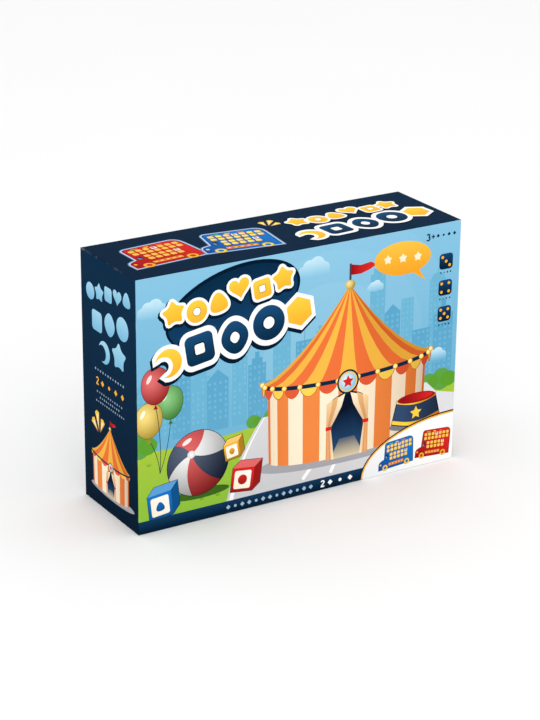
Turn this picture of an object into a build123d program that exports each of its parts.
from build123d import *
import os

# A boxed face guessing game. The box stands on one long narrow side, as on a shop shelf:
# +X runs along its front, -Y is the printed front and +Z is up. The origin is in the
# middle of the side it stands on. All sizes are millimetres.

# ---- Box ----
box_depth = 112.0
lid_wall = 1.5           # greyboard of the lid
base_wall = 1.5          # greyboard of the base
lid_gap = 0.75           # air between lid and base, each side
end_room = 16.25         # from a board's nose and tail to the base's ends
head_room = 15.5         # from a board's roof to the base's top wall
fold_edge = 0.5          # bevel along the wrapped folds
skirt_short = 1.0        # the lid's skirt ends this far before the base's back
rim_gap = 0.5            # air between the base's rim and the lid's front panel
seat_gap = 0.1           # air under a piece that stands on another one
cut_over = 1.0           # how far a cut reaches past the face that it opens
pick_near = 1e-3         # how near to a face an edge has to be, to be picked with it

# ---- Divider tray of folded card ----
tray_wall = 1.2
tray_gap = 0.5           # air between the tray and the base, each side
stack_gap = 0.3          # air between pieces stacked in the box's depth

# ---- Board outline: a bus seen from its left, nose to -X, in the board's own X and Z ----
hood_length = 53.0       # from the nose to the windscreen's foot
screen_run = 10.0        # how far the windscreen leans back
pillar = 7.0             # from the roof's front end to the long rows of doors
tail_room = 8.0          # from the long rows of doors to the tail
nose_lean = 2.0
tail_lean = 3.0
sill_z = 15.0            # underside of the body
hood_z = 96.0
hood_drop = 18.0         # how much lower the hood's front end is
crown = 37.0             # from the top row's middle up to the roof
small_round = 6.0
hood_round = 18.0
front_round = 20.0
rear_round = 34.0

# ---- Board moulding ----
board_depth = 20.0       # from the face back to the cover's outside
skin = 2.0               # wall of the mouldings
sheet_thickness = 0.5
cover_gap = 0.2          # air round the back cover

# ---- Doors: two short rows of five under two long rows of seven ----
door_width = 28.0
door_height = 28.0
door_thickness = 1.5
door_corner = 3.0        # cut off each free corner of a door
door_pitch = 36.0
row_pitch = 34.0         # between the two rows of one deck
deck_pitch = 40.0        # between the lower deck's top row and the upper deck's bottom row
first_row_z = 92.0
long_row_count = 7
short_row_count = 5
short_row_start = 30.0   # the short rows start this far behind the long ones
door_gap = 0.5           # air above, below and at the free edge of a door
hinge_y = 1.05           # hinge axis, behind the face
hinge_gap = 1.5          # from the hinge axis to the recess wall, so that a door opens wide
pin_radius = 0.5
pin_sides = 6
pin_reach = 1.3          # how far a hinge pin stands out of its door
pin_gap = 0.1            # air round a hinge pin
ledge = 2.5              # how far a ledge bar reaches behind a door
lip_height = 9.0         # finger lip on the door's free edge
lip_width = 2.0
lip_proud = 1.4

# ---- Driver's window with a pocket for the secret card ----
cab_front = 9.0          # from the windscreen's foot to the window
cab_rear = 12.0          # from the window to the short rows of doors
cab_rise = 5.0           # from the hood up to the window
cab_height = 36.0
cab_lean = 2.5           # the window's front edge leans with the windscreen
cab_round = 3.0
card_width = 34.0
card_height = 39.0
card_thickness = 0.35
card_count = 24
card_slot = 1.2          # slit in the windscreen where a card goes in
deck_x = 1.0

# ---- Wheels, feet, name plate, roof luggage ----
wheel_radius = 24.0
wheel_proud = 6.0
wheel_edge = 2.0
hub_radius = 12.0
hub_gap = 0.1
hub_proud = 4.5
front_overhang = 60.0    # from the nose to the front wheel's middle
rear_overhang = 57.0     # from the rear wheel's middle to the tail
foot_depth = 5.0         # feet on the back cover, behind the wheels
foot_width = 30.0
foot_height = 36.0
foot_edge = 2.0
plate_room = 8.0         # from a wheel to the name plate
plate_rise = 17.0        # from the sill up to the name plate
plate_height = 26.0
plate_frame = 2.5
plate_proud = 1.2
luggage_proud = 1.2
luggage_height = 12.0
luggage_widths = (34.0, 24.0, 30.0)
luggage_x = (-52.0, 8.0, 70.0)

# ---- Snap hooks that hold the back cover in the front shell ----
hook_x = (-60.0, 60.0)
hook_width = 10.0
hook_wall = 1.6
hook_reach = 7.0         # from the cover's inside to the hook's tip
hook_lead = 1.0          # from the hook's tip to where its barb starts
hook_barb = 1.4
hook_barb_length = 3.0
hook_gap = 0.4           # air round a barb in its catch
rib_thickness = 1.6

# ---- Values that follow from the ones above ----
row_z = (
    first_row_z,
    first_row_z + row_pitch,
    first_row_z + row_pitch + deck_pitch,
    first_row_z + 2 * row_pitch + deck_pitch,
)
roof_z = row_z[3] + crown
bus_length = hood_length + screen_run + pillar + long_row_count * door_pitch + tail_room
nose_x = -bus_length / 2
tail_x = bus_length / 2
screen_foot_x = nose_x + hood_length               # the windscreen rises from here
roof_front_x = screen_foot_x + screen_run
long_row_x = roof_front_x + pillar                 # where the long rows start
short_row_x = long_row_x + short_row_start
cab_left = screen_foot_x + cab_front
cab_right = short_row_x - cab_rear
cab_bottom = hood_z + cab_rise
cab_top = cab_bottom + cab_height
front_wheel_x = nose_x + front_overhang
rear_wheel_x = tail_x - rear_overhang
hinge_dx = door_width / 2 - pin_radius             # from a door's middle to its hinge axis
sheet_y = 2 * skin                                 # the face sheet's front, behind the ledge bars
cover_y = board_depth - skin                       # the back cover's inside
swing = ((hinge_dx + door_width / 2) ** 2 + (hinge_y + lip_proud) ** 2) ** 0.5

# the box, made to fit the boards
inside_width = bus_length + 2 * end_room
inside_height = roof_z + head_room
base_width = inside_width + 2 * base_wall
base_height = inside_height + 2 * base_wall
box_width = base_width + 2 * (lid_gap + lid_wall)
box_height = base_height + 2 * (lid_gap + lid_wall)
front_y = -box_depth / 2
back_y = box_depth / 2
base_floor_z = lid_wall + seat_gap
stand_z = base_floor_z + base_wall + seat_gap      # what is in the base stands here

# faces of the two boards and of the tray, from the back of the box to its front
blue_face_y = back_y - base_wall - stack_gap - foot_depth - board_depth
tray_back_y = blue_face_y + hinge_y - swing - 4 * stack_gap
tray_front_y = tray_back_y - tray_wall
red_face_y = tray_front_y - stack_gap - foot_depth - board_depth
tray_rim_y = blue_face_y - wheel_proud - 2 * stack_gap
deck_back_y = red_face_y - wheel_proud - stack_gap


def block(x0, x1, y0, y1, z0, z1):
    """A box between two corners."""
    middle = ((x0 + x1) / 2, (y0 + y1) / 2, (z0 + z1) / 2)
    return Pos(*middle) * Box(x1 - x0, y1 - y0, z1 - z0)


def slab(profile, y0, y1):
    """A profile drawn in X and Z, as thick as from y0 back to y1."""
    return Pos(0, y1, 0) * extrude(Plane.XZ * profile, y1 - y0)


def rod(radius, x, z, y0, y1):
    """A round bar along Y."""
    return slab(Pos(x, z) * Circle(radius), y0, y1)


def door_places():
    """Row number, column number, x and z of every door's middle, from the top row down."""
    places = []
    for row, z in enumerate(reversed(row_z), start=1):
        long_row = row <= 2
        start = long_row_x if long_row else short_row_x
        count = long_row_count if long_row else short_row_count
        places += [(row, n + 1, start + (n + 0.5) * door_pitch, z) for n in range(count)]
    return places


# ---- The box ----

def make_lid():
    end_y = back_y - skirt_short
    half = box_width / 2
    shell = block(-half, half, front_y, end_y, 0, box_height)
    shell = chamfer(shell.edges().filter_by(lambda e: e.center().Y < end_y - pick_near), fold_edge)
    inner = half - lid_wall
    hollow = block(-inner, inner, front_y + lid_wall, end_y + cut_over, lid_wall, box_height - lid_wall)
    return shell - hollow


def make_base():
    rim_y = front_y + lid_wall + rim_gap
    half = base_width / 2
    top = base_floor_z + base_height
    shell = block(-half, half, rim_y, back_y, base_floor_z, top)
    inner = half - base_wall
    low = base_floor_z + base_wall
    hollow = block(-inner, inner, rim_y - cut_over, back_y - base_wall, low, top - base_wall)
    return shell - hollow


def make_tray():
    half = inside_width / 2 - tray_gap
    top = stand_z + inside_height - 2 * tray_gap
    shell = block(-half, half, tray_front_y, tray_rim_y, stand_z, top)
    inner = half - tray_wall
    low = stand_z + tray_wall
    hollow = block(-inner, inner, tray_back_y, tray_rim_y + cut_over, low, top - tray_wall)
    return shell - hollow


def make_cards():
    cards = []
    for n in range(card_count):
        y = deck_back_y - n * card_thickness
        left = deck_x - card_width / 2
        top = stand_z + card_height
        cards.append(block(left, left + card_width, y - card_thickness, y, stand_z, top))
    return Compound(cards)


# ---- One board, with its face at y = 0 and standing on z = 0 ----

def body_profile(inset=0.0):
    """The bus outline, or the same outline moved inwards."""
    corners = [
        (nose_x, sill_z),
        (nose_x + nose_lean, hood_z - hood_drop),
        (screen_foot_x, hood_z),
        (roof_front_x, roof_z),
        (tail_x - tail_lean, roof_z),
        (tail_x, sill_z),
    ]
    rounds = [small_round, hood_round, small_round, front_round, rear_round, small_round]
    outline = make_face(FilletPolyline(*corners, radius=rounds, close=True))
    return offset(outline, amount=-inset) if inset else outline


def deck_spans():
    """Each deck of doors: first row's and second row's middle height, left and right end."""
    short_end = short_row_x + short_row_count * door_pitch
    long_end = long_row_x + long_row_count * door_pitch
    return [
        (row_z[0], row_z[1], short_row_x, short_end),
        (row_z[2], row_z[3], long_row_x, long_end),
    ]


def make_ledges():
    """Bars behind the face plate that stop the doors' top and bottom edges."""
    stop = door_height / 2 - ledge
    outside = door_height / 2 + door_gap + ledge
    bars = []
    for low, high, left, right in deck_spans():
        for z0, z1 in (
            (low - outside, low - stop),
            (low + stop, high - stop),
            (high + stop, high + outside),
        ):
            bars.append(block(left, right, skin, sheet_y, z0, z1))
    return bars


def cab_profile():
    """The driver's window, with its front edge leaning."""
    corners = [
        (cab_left, cab_bottom),
        (cab_left + cab_lean, cab_top),
        (cab_right, cab_top),
        (cab_right, cab_bottom),
    ]
    return make_face(FilletPolyline(*corners, radius=cab_round, close=True))


def make_luggage():
    """Suitcases in low relief under the roof line."""
    bottom = row_z[3] + door_height / 2 + door_gap + ledge
    return [
        block(x - width / 2, x + width / 2, -luggage_proud, 0, bottom, bottom + luggage_height)
        for x, width in zip(luggage_x, luggage_widths)
    ]


def make_plate_frame():
    left = front_wheel_x + wheel_radius + plate_room
    right = rear_wheel_x - wheel_radius - plate_room
    low = sill_z + plate_rise
    high = low + plate_height
    outer = block(left, right, -plate_proud, 0, low, high)
    inner = block(
        left + plate_frame, right - plate_frame, -plate_proud, 0,
        low + plate_frame, high - plate_frame,
    )
    return outer - inner


def door_cuts():
    """A recess for each door, and the hole behind the face that holds its hinge pins."""
    high = door_height / 2 + door_gap
    pin_high = door_height / 2 + pin_reach + pin_gap
    hole = pin_radius + pin_gap
    cuts = []
    for _, _, x, z in door_places():
        left = x - door_width / 2 - door_gap
        hinge_x = x + hinge_dx
        cuts.append(block(left, hinge_x + hinge_gap, -cut_over, skin, z - high, z + high))
        cuts.append(block(
            hinge_x - hole, hinge_x + hole, hinge_y - hole, skin, z - pin_high, z + pin_high
        ))
    return cuts


def card_slit():
    """The slit in the windscreen where the secret card slides in behind the driver's window."""
    y0 = (skin + sheet_y - card_slot) / 2
    middle = (cab_bottom + cab_top) / 2
    half = card_height / 2 + door_gap
    return block(
        screen_foot_x - skin, cab_left - skin, y0, y0 + card_slot, middle - half, middle + half
    )


def hook_places():
    """Where the cover's hooks catch: x, height of the rim's inside, and which way is out."""
    low = sill_z + skin
    high = roof_z - skin
    return [(x, low, -1) for x in hook_x] + [(x, high, 1) for x in hook_x]


def hook_catch(x, z, out):
    """The hole in the rim that takes a hook's barb."""
    barb_back = cover_y - hook_reach + hook_lead + hook_barb_length
    half = hook_width / 2 + hook_gap
    y0 = barb_back - hook_barb_length - hook_gap
    z0, z1 = sorted((z - out * hook_gap, z + out * (skin + hook_gap)))
    return block(x - half, x + half, y0, barb_back + hook_gap, z0, z1)


def make_hook(x, z, out):
    """A springy tongue on the back cover with a barb at its tip."""
    tip = cover_y - hook_reach
    barb_tip = tip + hook_lead
    barb_back = barb_tip + hook_barb_length
    outer = z - out * cover_gap
    profile = Polyline(
        (cover_y, outer - out * hook_wall), (cover_y, outer), (barb_back, outer),
        (barb_back, outer + out * hook_barb), (barb_tip, outer), (tip, outer),
        (tip, outer - out * hook_wall), close=True,
    )
    hook = extrude(Plane.YZ * make_face(profile), hook_width / 2, both=True)
    return Pos(x, 0, 0) * hook


def make_front_shell():
    shell = slab(body_profile(), 0, board_depth)
    shell -= slab(body_profile(skin), skin, board_depth + cut_over)
    shell += make_ledges()
    for x in (front_wheel_x, rear_wheel_x):
        shell += rod(hub_radius, x, wheel_radius, -hub_proud, 0)
    shell += make_plate_frame()
    shell += make_luggage()
    catches = [hook_catch(*place) for place in hook_places()]
    return shell - [slab(cab_profile(), -cut_over, skin), card_slit(), *catches, *door_cuts()]


def make_foot(x):
    """A rear foot behind a wheel, with its lower back edge bevelled."""
    back = board_depth + foot_depth
    foot = block(x - foot_width / 2, x + foot_width / 2, board_depth, back, 0, foot_height)
    rear_edges = foot.edges().filter_by(lambda e: e.center().Y > back - pick_near)
    return chamfer(rear_edges, foot_edge)


def make_back_cover():
    """The back plate, with hooks, ribs that hold the face sheet, and two feet."""
    cover = slab(body_profile(skin + cover_gap), cover_y, board_depth)
    cover += [make_hook(*place) for place in hook_places()]
    sheet_back = sheet_y + sheet_thickness
    for low, high, left, right in deck_spans():
        between = (low + high - rib_thickness) / 2
        cover += block(left, right, sheet_back, cover_y, between, between + rib_thickness)
    return cover + [make_foot(front_wheel_x), make_foot(rear_wheel_x)]


def make_face_sheet():
    """Printed card behind the doors and the driver's window, cut to the inside of the shell."""
    bottom = row_z[0] - door_height / 2 - door_gap - ledge
    top = row_z[3] + door_height / 2 + door_gap + ledge
    sheet = slab(body_profile(skin + 2 * cover_gap), sheet_y, sheet_y + sheet_thickness)
    return sheet & block(nose_x, tail_x, 0, board_depth, bottom, top)


def make_wheel(x):
    """A wheel ring that is pressed over a hub of the front shell."""
    bore = hub_radius + hub_gap
    section = Polyline(
        (bore, 0), (wheel_radius, 0), (wheel_radius - wheel_edge, -wheel_proud),
        (bore, -wheel_proud), close=True,
    )
    return Pos(x, 0, wheel_radius) * revolve(make_face(section), Axis.Y)


def make_wheels():
    return Compound([make_wheel(front_wheel_x), make_wheel(rear_wheel_x)])


def make_door():
    """A closed door with its middle at x = 0 and z = 0, hinged on its right edge."""
    left = -door_width / 2
    half = door_height / 2
    outline = Rectangle(door_width, door_height)
    outline = chamfer(outline.vertices().group_by(Axis.X)[0], door_corner)
    door = slab(outline, 0, door_thickness)
    pin = extrude(RegularPolygon(pin_radius, pin_sides), pin_reach)
    door += Pos(hinge_dx, hinge_y, half) * pin
    door += Pos(hinge_dx, hinge_y, -half - pin_reach) * pin
    lip = block(left, left + lip_width, -lip_proud, 0, -lip_height / 2, lip_height / 2)
    return door + lip


# ---- Writing the parts ----

def write(name, shape):
    export_step(shape, f"parts/{name}.step")


def write_board(colour, face_y):
    """One board and its doors, standing in the box with its face at face_y."""
    place = Pos(0, face_y, stand_z)
    write(f"{colour}_front_shell", place * front_shell)
    write(f"{colour}_back_cover", place * back_cover)
    write(f"{colour}_face_sheet", place * face_sheet)
    write(f"{colour}_wheels", place * wheels)
    for row, column, x, z in door_places():
        write(f"{colour}_door_r{row}c{column}", place * Pos(x, 0, z) * door)


os.makedirs("parts", exist_ok=True)
front_shell = make_front_shell()
back_cover = make_back_cover()
face_sheet = make_face_sheet()
wheels = make_wheels()
door = make_door()
write("box_lid", make_lid())
write("box_base", make_base())
write("divider_tray", make_tray())
write("secret_cards", make_cards())
write_board("blue", blue_face_y)
write_board("red", red_face_y)
